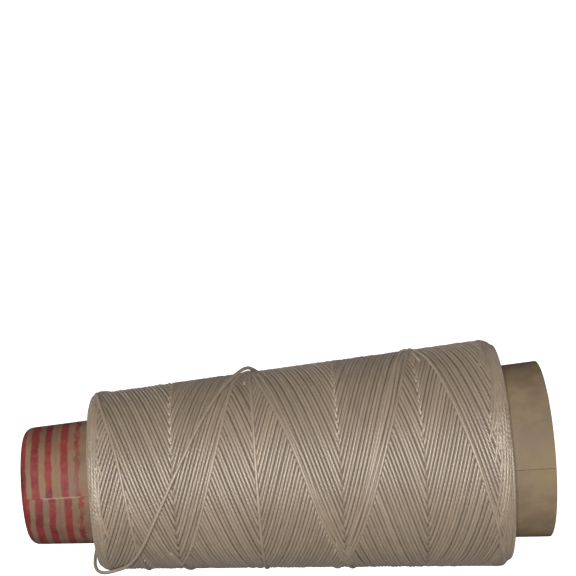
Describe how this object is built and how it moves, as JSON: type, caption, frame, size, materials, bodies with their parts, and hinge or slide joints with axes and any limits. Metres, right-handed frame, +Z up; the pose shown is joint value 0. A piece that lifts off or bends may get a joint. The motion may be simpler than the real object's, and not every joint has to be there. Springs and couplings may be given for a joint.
{
  "type": "waxed thread spool",
  "caption": "Waxed sewing thread cross-wound on a rolled paper cone, lying on its side with a slack loop round the small end.",
  "frame": {"origin": "on the plane the package lies on, under the middle of the object's length", "axes": "+X from the cone's small end to its large end, +Z up; the slack loop hangs on the -Y side of the small end"},
  "size_m": [0.1726, 0.0756, 0.0739],
  "materials": {
    "kraft_paper": "bare kraft board, matt, faintly mottled",
    "printed_paper": "matt kraft paper printed with plain red bands near the small end",
    "waxed_thread": "waxed cord, semi-matt with a soft sheen"
  },
  "bodies": {
    "root": {"core_inner_ply": "kraft_paper", "core_second_ply": "kraft_paper", "core_third_ply": "kraft_paper", "core_outer_ply": "printed_paper", "thread_layer_1": "waxed_thread", "thread_layer_2": "waxed_thread", "thread_layer_3": "waxed_thread", "thread_layer_4": "waxed_thread", "thread_layer_5": "waxed_thread", "thread_start_turns": "waxed_thread", "crossing_strands": "waxed_thread", "slack_loop": "waxed_thread"}
  },
  "joints": []
}
